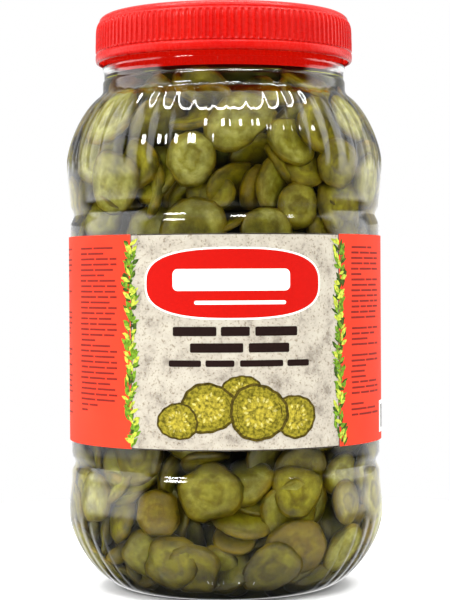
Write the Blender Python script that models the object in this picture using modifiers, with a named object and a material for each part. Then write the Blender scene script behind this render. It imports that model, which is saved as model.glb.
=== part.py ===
"""A catering jar of pickled cucumber slices: a clear fluted jar, a ribbed screw lid, a wrap label and the slices."""

import math
import random

import bmesh
import bpy
from mathutils import Euler, Vector

# The jar stands on z = 0 with the middle of its label towards -Y. All lengths are in metres.
BODY_RADIUS = 0.0764  # the widest part, on the crests of the flutes
BASE_RADIUS = 0.0480  # where the round bottom edge meets the floor
NECK_RADIUS = 0.0580
PANEL_RADIUS = 0.0749  # the straight wall that carries the label
GROOVE_DEPTH = 0.0017
WALL = 0.0010
FLOOR_MIDDLE = 0.0074  # the floor inside the jar rises towards its middle
GAP = 0.00035  # kept between two pieces that touch

# Heights on the jar, from the floor up
BULGE_LOW = 0.0360  # the widest ring of the lower bulge
GROOVE_LOW = 0.0606
LABEL_BOTTOM = 0.0714
LABEL_TOP = 0.1689
GROOVE_HIGH = 0.1793
BULGE_HIGH = 0.2050  # the widest ring of the upper bulge
NECK_BOTTOM = 0.2374
BEAD_HEIGHT = 0.2500  # the ring on the neck just under the lid
JAR_RIM = 0.2735
JAR_TOP = 0.2760  # the top of the lid

# The flutes are convex lobes that run down the shoulder and round the bottom edge.
FLUTES = 48
HOLLOW_SIDES = 36  # of the inner wall
FLUTE_DEPTH = 0.0012
FLUTES_LOW = (0.0030, 0.0380)
FLUTES_HIGH = (0.2020, 0.2375)
BOTTOM_CURVE = 1.62  # exponents of the two rounded ends: 1 is a straight cone and 2 an ellipse
SHOULDER_CURVE = 1.5

# The lid
LID_RADIUS = 0.0622
LID_BOTTOM = 0.2527
RIBS = 120
LID_SIDES = 48  # of the lid behind its ribs
RIB_BOTTOM = 0.2579
RIB_TOP = 0.2717
RIB_HEIGHT = 0.0008
LID_TOP_RADIUS = 0.0556  # where the top starts to round over
LID_PLATE = 0.0022
LID_SKIRT = 0.0020

LABEL_THICKNESS = 0.0004

# The slices
SLICE_RADIUS = (0.0115, 0.0150)
SLICE_THICKNESS = (0.0050, 0.0064)
SLICE_SIDES = 8
SLICE_ROWS = 9
SLICES_IN_A_ROW = 12
CORE_DEPTH = 0.0062  # how far the core lies inside the jar's inner wall
HEAP_BOTTOM = 0.0042
HEAP_TOP = 0.2330
SEED = 12

CLEAR = (0.93, 0.96, 0.94)
RED = (0.80, 0.018, 0.010)
CREAM = (0.72, 0.66, 0.57)
OLIVE = (0.21, 0.22, 0.035)


def material(name, colour, roughness, transmission=0.0):
    made = bpy.data.materials.new(name)
    made.use_nodes = True
    shader = made.node_tree.nodes["Principled BSDF"]
    shader.inputs["Base Color"].default_value = (*colour, 1.0)
    shader.inputs["Roughness"].default_value = roughness
    shader.inputs["Metallic"].default_value = 0.0
    shader.inputs["Transmission Weight"].default_value = transmission
    return made


def link(name, data, collection):
    piece = bpy.data.objects.new(name, data)
    collection.objects.link(piece)
    return piece


def helper(name, data, collection):
    """An object that only cuts or joins another."""
    piece = link(name, data, collection)
    piece.hide_render = True
    piece.display_type = "WIRE"
    return piece


def profile_mesh(name, points):
    """The open line through (radius, height) points, in the XZ plane, running down the outer side."""
    mesh = bpy.data.meshes.new(name)
    edges = [(i, i + 1) for i in range(len(points) - 1)]
    mesh.from_pydata([(r, 0.0, z) for r, z in points], edges, [])
    return mesh


def turn(piece, steps):
    screw = piece.modifiers.new("Turn", "SCREW")
    screw.axis = "Z"
    screw.steps = screw.render_steps = steps
    screw.use_merge_vertices = True
    screw.merge_threshold = 0.00005
    return piece


def as_mesh(piece):
    """Replaces a curve, or an object with modifiers, by the mesh that it evaluates to."""
    bpy.context.view_layer.update()
    graph = bpy.context.evaluated_depsgraph_get()
    mesh = bpy.data.meshes.new_from_object(piece.evaluated_get(graph))
    editing = bmesh.new()
    editing.from_mesh(mesh)
    bmesh.ops.remove_doubles(editing, verts=editing.verts, dist=0.00001)
    editing.to_mesh(mesh)
    editing.free()
    name, place, home = piece.name, piece.matrix_world.copy(), piece.users_collection[0]
    hidden = piece.hide_render
    bpy.data.objects.remove(piece)
    made = link(name, mesh, home)
    made.matrix_world = place
    made.hide_render = hidden
    return made


def combine(piece, other, operation):
    step = piece.modifiers.new(operation.title(), "BOOLEAN")
    step.operation = operation
    step.object = other
    step.solver = "EXACT"


def rounded(inner, outer, low, high, exponent, steps):
    """Points of a superellipse quarter: (outer, low) is its widest ring and (inner, high) its narrow end."""
    points = []
    for i in range(steps + 1):
        turned = math.pi / 2 * i / steps
        wide = math.cos(turned) ** (2 / exponent)
        tall = math.sin(turned) ** (2 / exponent)
        points.append((inner + (outer - inner) * wide, low + (high - low) * tall))
    return points


def outer_profile():
    """(radius, height) from the neck's rim down to the foot, over the crests of the flutes."""
    neck = [
        (NECK_RADIUS - 0.0006, JAR_RIM),
        (NECK_RADIUS, JAR_RIM - 0.0008),
        (NECK_RADIUS, BEAD_HEIGHT + 0.0014),
        (NECK_RADIUS + 0.0013, BEAD_HEIGHT),
        (NECK_RADIUS, BEAD_HEIGHT - 0.0014),
        (NECK_RADIUS, NECK_BOTTOM + 0.0040),
        (NECK_RADIUS + 0.0004, NECK_BOTTOM + 0.0010),
    ]
    shoulder = rounded(NECK_RADIUS, BODY_RADIUS, BULGE_HIGH, NECK_BOTTOM, SHOULDER_CURVE, 5)[-2::-1]
    waist = [
        (BODY_RADIUS - 0.0004, BULGE_HIGH - 0.0055),
        (PANEL_RADIUS, GROOVE_HIGH + 0.0045),
        (PANEL_RADIUS - GROOVE_DEPTH, GROOVE_HIGH),
        (PANEL_RADIUS, GROOVE_HIGH - 0.0065),
        (PANEL_RADIUS, GROOVE_LOW + 0.0050),
        (PANEL_RADIUS - GROOVE_DEPTH, GROOVE_LOW),
        (PANEL_RADIUS - 0.0004, GROOVE_LOW - 0.0035),
        (PANEL_RADIUS - 0.0002, BULGE_LOW + 0.0145),
        (BODY_RADIUS - 0.0007, BULGE_LOW + 0.0050),
    ]
    bottom = rounded(BASE_RADIUS, BODY_RADIUS - 0.0002, BULGE_LOW, 0.0, BOTTOM_CURVE, 5)
    foot = [(BASE_RADIUS - 0.0035, 0.0), (BASE_RADIUS - 0.0065, 0.0016), (0.0, 0.0060)]
    return neck + shoulder + waist + bottom + foot


def inner_profile():
    """(radius, height) of the inner wall, from the mouth down to the middle of the floor."""
    shoulder = rounded(
        NECK_RADIUS - 2 * WALL,
        BODY_RADIUS - FLUTE_DEPTH - WALL,
        BULGE_HIGH,
        NECK_BOTTOM - WALL,
        SHOULDER_CURVE,
        4,
    )[-1::-1]
    waist = [
        (PANEL_RADIUS - WALL, GROOVE_HIGH + 0.0045),
        (PANEL_RADIUS - GROOVE_DEPTH - WALL, GROOVE_HIGH),
        (PANEL_RADIUS - WALL, GROOVE_HIGH - 0.0065),
        (PANEL_RADIUS - WALL, GROOVE_LOW + 0.0050),
        (PANEL_RADIUS - GROOVE_DEPTH - WALL, GROOVE_LOW),
        (PANEL_RADIUS - 0.0004 - WALL, GROOVE_LOW - 0.0040),
    ]
    bottom = rounded(
        BASE_RADIUS - 0.0005, BODY_RADIUS - FLUTE_DEPTH - WALL, BULGE_LOW, 0.0014, BOTTOM_CURVE, 5
    )
    floor = [(BASE_RADIUS - 0.0060, 0.0028), (0.0, FLOOR_MIDDLE)]
    return [(NECK_RADIUS - 2 * WALL, JAR_RIM + 0.004)] + shoulder + waist + bottom + floor


def smooth(low, high, value):
    share = min(1.0, max(0.0, (value - low) / (high - low)))
    return share * share * (3 - 2 * share)


def flute_depth(height):
    """How deep the crease between two lobes is at this height."""
    low = smooth(FLUTES_LOW[0], FLUTES_LOW[0] + 0.010, height) * (height < FLUTES_LOW[1])
    high = 1 - smooth(FLUTES_HIGH[1] - 0.012, FLUTES_HIGH[1], height)
    return FLUTE_DEPTH * (low if height < GROOVE_LOW else high * (height > FLUTES_HIGH[0]))


def flute(mesh):
    """Pulls every second line of the turned wall in, to the crease between two lobes.

    Away from the flutes it lies on the chord between its neighbours, so the wall has one flat face for each lobe."""
    for vertex in mesh.vertices:
        radius = math.hypot(vertex.co.x, vertex.co.y)
        line = math.atan2(vertex.co.y, vertex.co.x) / (math.pi / FLUTES)
        if radius > 0.001 and round(line) % 2:
            chord = radius * math.cos(math.pi / FLUTES)
            share = (chord - flute_depth(vertex.co.z)) / radius
            vertex.co.x *= share
            vertex.co.y *= share


def make_jar(parts, tools):
    profile = outer_profile()
    capped = [(0.0, JAR_RIM)] + profile
    jar = as_mesh(turn(link("jar_body", profile_mesh("jar_body", capped), parts), 2 * FLUTES))
    flute(jar.data)
    hollow = [(0.0, JAR_RIM + 0.004)] + inner_profile()
    cutter = as_mesh(turn(helper("jar_hollow", profile_mesh("jar_hollow", hollow), tools), HOLLOW_SIDES))
    combine(jar, cutter, "DIFFERENCE")
    jar = as_mesh(jar)
    jar.data.materials.clear()
    jar.data.materials.append(material("clear_plastic", CLEAR, 0.04, 1.0))
    bpy.data.objects.remove(cutter)
    return jar


def make_ribs(tools):
    """The ribbed band. Its top leans in, so the ribs run out towards the rounded corner."""
    band = [
        (LID_RADIUS - 0.0040, RIB_TOP + 0.0006),
        (LID_RADIUS - 0.0016, RIB_TOP),
        (LID_RADIUS, RIB_TOP - 0.0050),
        (LID_RADIUS, RIB_BOTTOM),
        (LID_RADIUS - 0.0040, RIB_BOTTOM - 0.0004),
        (LID_RADIUS - 0.0040, RIB_TOP + 0.0006),
    ]
    ribs = as_mesh(turn(helper("lid_ribs", profile_mesh("lid_ribs", band), tools), 2 * RIBS))
    for vertex in ribs.data.vertices:
        radius = math.hypot(vertex.co.x, vertex.co.y)
        line = math.atan2(vertex.co.y, vertex.co.x) / (math.pi / RIBS)
        if round(line) % 2 and radius > LID_RADIUS - 0.0030:
            share = (radius - RIB_HEIGHT) / radius
            vertex.co.x *= share
            vertex.co.y *= share
    return ribs


def make_lid(parts, tools):
    lid_profile = [
        (0.0, JAR_TOP - 0.0005),
        (LID_TOP_RADIUS - 0.0030, JAR_TOP - 0.0005),
        (LID_TOP_RADIUS - 0.0022, JAR_TOP),
        (LID_TOP_RADIUS, JAR_TOP),
        (LID_TOP_RADIUS + 0.0024, JAR_TOP - 0.0010),
        (LID_RADIUS - 0.0024, RIB_TOP + 0.0012),
        (LID_RADIUS - 0.0015, RIB_BOTTOM + 0.0010),
        (LID_RADIUS - 0.0004, RIB_BOTTOM - 0.0006),
        (LID_RADIUS, RIB_BOTTOM - 0.0012),
        (LID_RADIUS, LID_BOTTOM + 0.0006),
        (LID_RADIUS - 0.0006, LID_BOTTOM),
        (0.0, LID_BOTTOM),
    ]
    lid = as_mesh(turn(link("lid", profile_mesh("lid", lid_profile), parts), LID_SIDES))
    inside = LID_RADIUS - LID_SKIRT
    cavity_profile = [
        (0.0, JAR_TOP - LID_PLATE),
        (inside - 0.0024, JAR_TOP - LID_PLATE),
        (inside - 0.0014, JAR_TOP - LID_PLATE - 0.0014),
        (inside, RIB_TOP - 0.0040),
        (inside, LID_BOTTOM - 0.0020),
        (0.0, LID_BOTTOM - 0.0020),
    ]
    cavity = as_mesh(
        turn(helper("lid_cavity", profile_mesh("lid_cavity", cavity_profile), tools), LID_SIDES)
    )
    ribs = make_ribs(tools)
    combine(lid, ribs, "UNION")
    combine(lid, cavity, "DIFFERENCE")
    lid = as_mesh(lid)
    lid.data.materials.clear()
    lid.data.materials.append(material("red_plastic", RED, 0.32))
    for tool in (ribs, cavity):
        bpy.data.objects.remove(tool)
    return lid


def make_label(parts):
    inner = PANEL_RADIUS + GAP
    outer = inner + LABEL_THICKNESS
    section = [(outer, LABEL_TOP), (outer, LABEL_BOTTOM), (inner, LABEL_BOTTOM), (inner, LABEL_TOP)]
    section.append(section[0])
    label = as_mesh(turn(link("label", profile_mesh("label", section), parts), FLUTES))
    label.data.materials.append(material("label_paper", CREAM, 0.45))
    return label


def inner_radius(height):
    """The inner wall's radius at a height, between the floor and the neck."""
    wall = inner_profile()
    for (high_r, high_z), (low_r, low_z) in zip(wall, wall[1:]):
        if low_z <= height <= high_z:
            share = (height - low_z) / max(high_z - low_z, 1e-6)
            return low_r + share * (high_r - low_r)
    return 0.0


def fits(place, turned, radius, thickness):
    """True if a slice is clear of the inner wall, its grooves and the jar's floor."""
    flat = math.cos(math.pi / HOLLOW_SIDES)
    for side in (-thickness / 2, 0.0, thickness / 2):
        for corner in range(2 * SLICE_SIDES):
            angle = math.pi * corner / SLICE_SIDES
            for share in (1.0, 0.66, 0.33):
                point = Vector((share * radius * math.cos(angle), share * radius * math.sin(angle), side))
                point.rotate(turned)
                point += place
                outward = math.hypot(point.x, point.y)
                floor = FLOOR_MIDDLE - (FLOOR_MIDDLE - HEAP_BOTTOM) * outward / BASE_RADIUS
                if point.z < floor + GAP or outward > inner_radius(point.z) * flat - GAP:
                    return False
    return True


def add_slice(editing, place, turned, radius, thickness):
    """One slice: a short many-sided disc."""
    made = bmesh.ops.create_cone(
        editing,
        cap_ends=True,
        segments=SLICE_SIDES,
        radius1=radius,
        radius2=radius,
        depth=thickness,
    )["verts"]
    bmesh.ops.rotate(editing, verts=made, matrix=turned.to_matrix())
    bmesh.ops.translate(editing, verts=made, vec=place)


def scatter_slices(tools):
    """The slices that show through the wall: rows round the jar, each one pushed out until it meets the wall."""
    draw = random.Random(SEED)
    slices = []
    for row in range(SLICE_ROWS):
        level = HEAP_BOTTOM + 0.012 + (HEAP_TOP - HEAP_BOTTOM - 0.025) * row / (SLICE_ROWS - 1)
        for column in range(SLICES_IN_A_ROW):
            around = 2 * math.pi * (column + 0.5 * (row % 2) + draw.uniform(-0.22, 0.22)) / SLICES_IN_A_ROW
            height = level + draw.uniform(-0.004, 0.004)
            radius = draw.uniform(*SLICE_RADIUS)
            thickness = draw.uniform(*SLICE_THICKNESS)
            lean = math.pi / 2 + draw.gauss(0.0, 0.42)
            swing = around + math.pi / 2 + draw.gauss(0.0, 0.36)
            turned = Euler((lean, 0.0, swing))
            distance = BODY_RADIUS
            place = Vector((distance * math.cos(around), distance * math.sin(around), height))
            while distance > BODY_RADIUS / 2 and not fits(place, turned, radius, thickness):
                distance -= 0.0004
                place = Vector((distance * math.cos(around), distance * math.sin(around), height))
            if distance > BODY_RADIUS / 2:
                slices.append((place, turned, radius, thickness))
    for number, (place, turned, radius, thickness) in enumerate(slices):
        editing = bmesh.new()
        add_slice(editing, place, turned, radius, thickness)
        mesh = bpy.data.meshes.new("slice")
        editing.to_mesh(mesh)
        editing.free()
        helper(f"slice_{number}", mesh, tools)


def make_pickles(parts, tools):
    """The heap as one solid: a core a little inside the wall, with the outermost slices fused to it."""
    scatter = bpy.data.collections.new("slices_to_fuse")
    tools.children.link(scatter)
    scatter_slices(scatter)
    steps = 9
    section = [(0.0, HEAP_TOP)]
    for i in range(steps + 1):
        height = HEAP_TOP - (HEAP_TOP - HEAP_BOTTOM - 0.004) * i / steps
        section.append((inner_radius(min(height, NECK_BOTTOM - 0.002)) - CORE_DEPTH, height))
    section.append((0.0, HEAP_BOTTOM + 0.006))
    pickles = as_mesh(turn(link("pickles", profile_mesh("pickles", section), parts), FLUTES // 2))
    join = pickles.modifiers.new("Fuse", "BOOLEAN")
    join.operation = "UNION"
    join.operand_type = "COLLECTION"
    join.collection = scatter
    join.solver = "EXACT"
    pickles = as_mesh(pickles)
    for piece in list(scatter.objects):
        bpy.data.objects.remove(piece)
    pickles.data.materials.clear()
    pickles.data.materials.append(material("pickle_flesh", OLIVE, 0.35))
    return pickles


def main():
    for old in list(bpy.data.objects):
        bpy.data.objects.remove(old)
    parts = bpy.data.collections.new("pickle_jar")
    tools = bpy.data.collections.new("helpers")
    for collection in (parts, tools):
        bpy.context.scene.collection.children.link(collection)
    make_jar(parts, tools)
    make_lid(parts, tools)
    make_label(parts)
    make_pickles(parts, tools)


main()
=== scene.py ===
import math

import bpy
import numpy as np
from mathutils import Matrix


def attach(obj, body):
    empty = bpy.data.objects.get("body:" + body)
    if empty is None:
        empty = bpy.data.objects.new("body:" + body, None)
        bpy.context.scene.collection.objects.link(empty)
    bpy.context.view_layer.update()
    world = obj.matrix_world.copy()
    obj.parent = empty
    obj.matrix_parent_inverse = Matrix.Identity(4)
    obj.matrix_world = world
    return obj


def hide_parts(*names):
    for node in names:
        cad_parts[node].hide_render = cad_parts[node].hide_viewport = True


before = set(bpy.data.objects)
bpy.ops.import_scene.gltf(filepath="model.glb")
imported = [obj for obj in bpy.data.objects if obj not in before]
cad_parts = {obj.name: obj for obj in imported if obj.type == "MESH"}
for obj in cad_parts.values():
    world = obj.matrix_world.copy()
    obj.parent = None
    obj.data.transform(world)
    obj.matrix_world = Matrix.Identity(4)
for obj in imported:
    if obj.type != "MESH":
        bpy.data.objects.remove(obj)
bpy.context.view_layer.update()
rng = np.random.default_rng(41)
mm = 0.001


def deselectAll():
    if bpy.context.object and bpy.context.object.mode != "OBJECT":
        bpy.ops.object.mode_set(mode="OBJECT")
    bpy.ops.object.select_all(action="DESELECT")


def makeActive(piece):
    deselectAll()
    piece.select_set(True)
    bpy.context.view_layer.objects.active = piece


def applyModifier(piece, kind, **settings):
    makeActive(piece)
    modifier = piece.modifiers.new(kind.title(), kind)
    for key, value in settings.items():
        setattr(modifier, key, value)
    bpy.ops.object.modifier_apply(modifier=modifier.name)


def applyPlace(piece):
    makeActive(piece)
    bpy.ops.object.transform_apply(location=True, rotation=True, scale=True)


def shadeSmooth(piece, degrees=None):
    makeActive(piece)
    if degrees is None:
        bpy.ops.object.shade_smooth()
    else:
        bpy.ops.object.shade_smooth_by_angle(angle=math.radians(degrees))


def tidyFaces(piece):
    makeActive(piece)
    bpy.ops.object.mode_set(mode="EDIT")
    bpy.ops.mesh.select_all(action="SELECT")
    bpy.ops.mesh.remove_doubles(threshold=0.000004)
    bpy.ops.mesh.normals_make_consistent(inside=False)
    bpy.ops.object.mode_set(mode="OBJECT")


def readPoints(piece):
    points = np.empty(len(piece.data.vertices) * 3)
    piece.data.vertices.foreach_get("co", points)
    return points.reshape(-1, 3)


def writePoints(piece, points):
    piece.data.vertices.foreach_set("co", points.ravel())
    piece.data.update()


def turnedShape(name, rings, corners, closeTop=False, closeBottom=False):
    # a circle at the first ring, extruded down from ring to ring
    deselectAll()
    radius, height = rings[0]
    bpy.ops.mesh.primitive_circle_add(vertices=corners, radius=radius, location=(0, 0, height))
    piece = bpy.context.object
    piece.name = name
    applyPlace(piece)
    bpy.ops.object.mode_set(mode="EDIT")
    bpy.ops.mesh.select_mode(type="VERT")
    bpy.ops.mesh.select_all(action="SELECT")
    if closeTop:
        bpy.ops.mesh.extrude_region_move()
        bpy.ops.mesh.merge(type="CENTER")
        bpy.ops.mesh.select_all(action="SELECT")
        bpy.ops.mesh.select_non_manifold(extend=False)
    for (oldRadius, oldHeight), (radius, height) in zip(rings, rings[1:]):
        bpy.ops.mesh.extrude_region_move(TRANSFORM_OT_translate={"value": (0, 0, height - oldHeight)})
        share = radius / oldRadius
        bpy.ops.transform.resize(value=(share, share, 1), center_override=(0, 0, height))
    if closeBottom:
        bpy.ops.mesh.extrude_region_move()
        bpy.ops.mesh.merge(type="CENTER")
    bpy.ops.object.mode_set(mode="OBJECT")
    tidyFaces(piece)
    return piece


def smoothStep(low, high, value):
    share = np.clip((value - low) / (high - low), 0.0, 1.0)
    return share * share * (3 - 2 * share)


def newMaterial(name, colour, roughness, **sockets):
    made = bpy.data.materials.new(name)
    made.use_nodes = True
    shader = made.node_tree.nodes["Principled BSDF"]
    shader.inputs["Base Color"].default_value = (*colour, 1)
    shader.inputs["Roughness"].default_value = roughness
    for key, value in sockets.items():
        shader.inputs[key.replace("_", " ")].default_value = value
    return made, made.node_tree, shader


def addNode(tree, kind, inputs=None, **settings):
    node = tree.nodes.new(kind)
    for key, value in settings.items():
        setattr(node, key, value)
    for key, value in (inputs or {}).items():
        if isinstance(value, bpy.types.NodeSocket):
            tree.links.new(value, node.inputs[key])
        else:
            node.inputs[key].default_value = value
    return node


def rampNode(tree, factor, stops):
    node = addNode(tree, "ShaderNodeValToRGB", {"Fac": factor})
    elements = node.color_ramp.elements
    while len(elements) < len(stops):
        elements.new(0.5)
    for element, (place, colour) in zip(elements, stops):
        element.position = place
        element.color = (*colour, 1) if len(colour) == 3 else colour
    return node.outputs["Color"]


def mixColour(tree, factor, first, second, blend="MIX"):
    node = addNode(tree, "ShaderNodeMix", data_type="RGBA", blend_type=blend)
    for key, value in ((0, factor), (6, first), (7, second)):
        if isinstance(value, bpy.types.NodeSocket):
            tree.links.new(value, node.inputs[key])
        else:
            node.inputs[key].default_value = (*value, 1) if isinstance(value, tuple) else value
    return node.outputs[2]


def noiseNode(tree, vector, scale, detail=4.0, roughness=0.55):
    return addNode(tree, "ShaderNodeTexNoise",
                   {"Vector": vector, "Scale": scale, "Detail": detail, "Roughness": roughness}).outputs["Fac"]


def mathsNode(tree, operation, *values):
    return addNode(tree, "ShaderNodeMath", dict(enumerate(values)), operation=operation).outputs["Value"]


def attributeNode(tree, name, output="Fac"):
    return addNode(tree, "ShaderNodeAttribute", attribute_name=name).outputs[output]


def objectCoordinates(tree):
    return addNode(tree, "ShaderNodeTexCoord").outputs["Object"]


def addBump(tree, shader, height, strength, distance):
    bump = addNode(tree, "ShaderNodeBump", {"Height": height, "Strength": strength, "Distance": distance})
    tree.links.new(bump.outputs["Normal"], shader.inputs["Normal"])


# camera, light and floor: directions are (azimuth, elevation) in degrees, azimuth from the front towards the right
studio = {
    "cameraDistance": 0.912,
    "cameraHeight": 0.149,
    "lens": 112.3,
    "tiltDown": 0.68,
    "roll": 0.3,
    "floorRadius": 0.36,
    "frontRoom": 0.02,
    "frontAbove": 0.55,
    "frontRises": (26, 58),  # elevation
    "backdrop": 1.25,
    "backdropAbove": 0.42,
    "backdropDims": (3.0, 5.0),  # elevation
    "backdropFrom": (0.45, 0.75),  # y of a direction
    "backdropFades": (-0.65, -0.30),  # z of a direction
    "ceilingRim": {"wide": 0.56, "deep": 0.50, "halfWidth": 0.055, "level": 36.0},
    "ceiling": (0.7, 2.6),
    # (azimuth from, to, elevation from, to, soft edge, level)
    "patches": [(-122, -64, -4.5, 48, 5, 2.6), (88, 130, -4, 46, 7, 2.4),
                (6, 20, 46, 52, 0.8, 42), (-49, -32, 27, 36, 1.2, 36), (55, 61, 38, 42, 0.8, 22)],
    "softLight": (0.42, 2.75),  # for what lies behind the clear wall, from below to above
    "softRises": (-20, 65),  # elevation
    "softFromLeft": 0.3,
    "softFromSides": 1.5,
}


def studioWorld():
    world = bpy.data.worlds.new("studio")
    bpy.context.scene.world = world
    world.use_nodes = True
    tree = world.node_tree
    background = tree.nodes["Background"]
    direction = addNode(tree, "ShaderNodeTexCoord").outputs["Generated"]
    parts = addNode(tree, "ShaderNodeSeparateXYZ", {"Vector": direction})
    x, y, z = (parts.outputs[axis] for axis in "XYZ")

    def maths(operation, *values):
        return mathsNode(tree, operation, *values)

    def ramp(value, low, high, fromLevel=0.0, toLevel=1.0):
        limits = {"Value": value, "From Min": low, "From Max": high, "To Min": fromLevel, "To Max": toLevel}
        return addNode(tree, "ShaderNodeMapRange", limits, interpolation_type="SMOOTHSTEP").outputs["Result"]

    def between(value, low, high, edge):
        return maths("MULTIPLY", ramp(value, low - edge, low + edge), ramp(value, high - edge, high + edge, 1, 0))

    azimuth = maths("MULTIPLY", maths("ARCTAN2", x, maths("MULTIPLY", y, -1.0)), 180 / math.pi)
    elevation = maths("MULTIPLY", maths("ARCSINE", z), 180 / math.pi)
    backdrop = ramp(y, *studio["backdropFrom"], 0, studio["backdrop"])
    backdrop = maths("MULTIPLY", backdrop, ramp(z, *studio["backdropFades"]))
    backdrop = maths("MULTIPLY", backdrop, ramp(elevation, *studio["backdropDims"], 1, studio["backdropAbove"]))
    level = maths("ADD", ramp(elevation, *studio["frontRises"], studio["frontRoom"], studio["frontAbove"]), backdrop)
    for left, right, low, high, edge, bright in studio["patches"]:
        patch = maths("MULTIPLY", between(azimuth, left, right, edge), between(elevation, low, high, edge))
        level = maths("MULTIPLY_ADD", patch, bright, level)

    # an oval ceiling light with a bright rim
    rim = studio["ceilingRim"]
    above = maths("MAXIMUM", z, 0.05)
    across = maths("DIVIDE", maths("DIVIDE", x, above), rim["wide"])
    along = maths("DIVIDE", maths("DIVIDE", y, above), rim["deep"])
    distance = maths("SQRT", maths("ADD", maths("MULTIPLY", across, across), maths("MULTIPLY", along, along)))
    inside = ramp(distance, 0.9, 1.0, 1, 0)
    low, high = studio["ceiling"]
    ceiling = maths("MULTIPLY_ADD", maths("MULTIPLY", across, across), high - low, low)
    level = maths("MULTIPLY_ADD", inside, ceiling, level)
    offRim = maths("ABSOLUTE", maths("SUBTRACT", distance, 1.0))
    onRim = ramp(offRim, rim["halfWidth"] * 0.6, rim["halfWidth"] * 1.2, 1, 0)
    level = maths("MULTIPLY_ADD", onRim, rim["level"], level)

    # reflections see the room above, matt surfaces a softer light, and the camera plain white
    path = addNode(tree, "ShaderNodeLightPath").outputs
    soft = ramp(elevation, *studio["softRises"], *studio["softLight"])
    soft = maths("ADD", soft, ramp(x, 0.9, -0.9, 0, studio["softFromLeft"]))
    soft = maths("ADD", soft, ramp(maths("ABSOLUTE", x), 0.35, 0.9, 0, studio["softFromSides"]))
    bounced = maths("GREATER_THAN", path["Diffuse Depth"], 0.5)
    level = addNode(tree, "ShaderNodeMix", {"Factor": bounced, 2: level, 3: soft}).outputs[0]
    seen = path["Is Camera Ray"]
    level = addNode(tree, "ShaderNodeMix", {"Factor": seen, 2: level, 3: 1.0}).outputs[0]
    background.inputs["Color"].default_value = (1, 1, 1, 1)
    tree.links.new(level, background.inputs["Strength"])


def makeStudio():
    scene = bpy.context.scene
    camera = bpy.data.objects.new("camera", bpy.data.cameras.new("camera"))
    scene.collection.objects.link(camera)
    scene.camera = camera
    camera.data.lens = studio["lens"]
    camera.data.sensor_width = 36
    camera.data.clip_start = 0.02
    camera.location = (0, -studio["cameraDistance"], studio["cameraHeight"])
    camera.rotation_euler = (math.radians(90 - studio["tiltDown"]), 0, 0)
    camera.rotation_euler.rotate_axis("Z", -math.radians(studio["roll"]))
    scene.view_settings.view_transform = "Standard"
    studioWorld()

    deselectAll()
    bpy.ops.mesh.primitive_circle_add(vertices=96, radius=studio["floorRadius"], fill_type="NGON",
                                      location=(0, 0, -0.0001))
    floor = bpy.context.object
    floor.name = "floor"
    applyPlace(floor)
    material, tree, shader = newMaterial("paleFloor", (0.72, 0.72, 0.715), 0.7)
    grain = noiseNode(tree, objectCoordinates(tree), 60)
    pale = rampNode(tree, grain, [(0, (0.71, 0.71, 0.705)), (1, (0.73, 0.73, 0.725))])
    tree.links.new(pale, shader.inputs["Base Color"])
    floor.data.materials.append(material)
    floor.visible_glossy = False  # the clear wall would mirror it as a grey haze
    print("studio is set")


# the jar's form in mm, which the wall and the brine share
jar = {
    "bodyRadius": 76.4,
    "baseRadius": 48.0,
    "neckRadius": 58.0,
    "panelRadius": 74.9,
    "grooveDepth": 1.7,
    "bulgeLow": 36.0,
    "grooveLow": 60.6,
    "grooveHigh": 179.3,
    "bulgeHigh": 205.0,
    "neckBottom": 237.4,
    "bead": 250.0,
    "rim": 273.5,
    "shoulderCurve": 1.5,
    "bottomCurve": 1.62,
    "wall": 1.0,
    "lobes": 48,
    "lobeDepth": 0.80,
    "creaseAt": 2.25,  # degrees to the right of the front
    "upperTips": 199.0,
    "lowerTips": 37.0,
    "sides": 384,
}


def curvedEnd(inner, outer, low, high, exponent, steps):
    turned = np.linspace(0, math.pi / 2, steps + 1)
    radius = inner + (outer - inner) * np.cos(turned) ** (2 / exponent)
    height = low + (high - low) * np.sin(turned) ** (2 / exponent)
    return list(zip(radius, height))


def groove(height, middle, halfWidth):
    share = np.clip(abs(height - middle) / halfWidth, 0, 1)
    return 0.5 + 0.5 * math.cos(math.pi * share)


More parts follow.
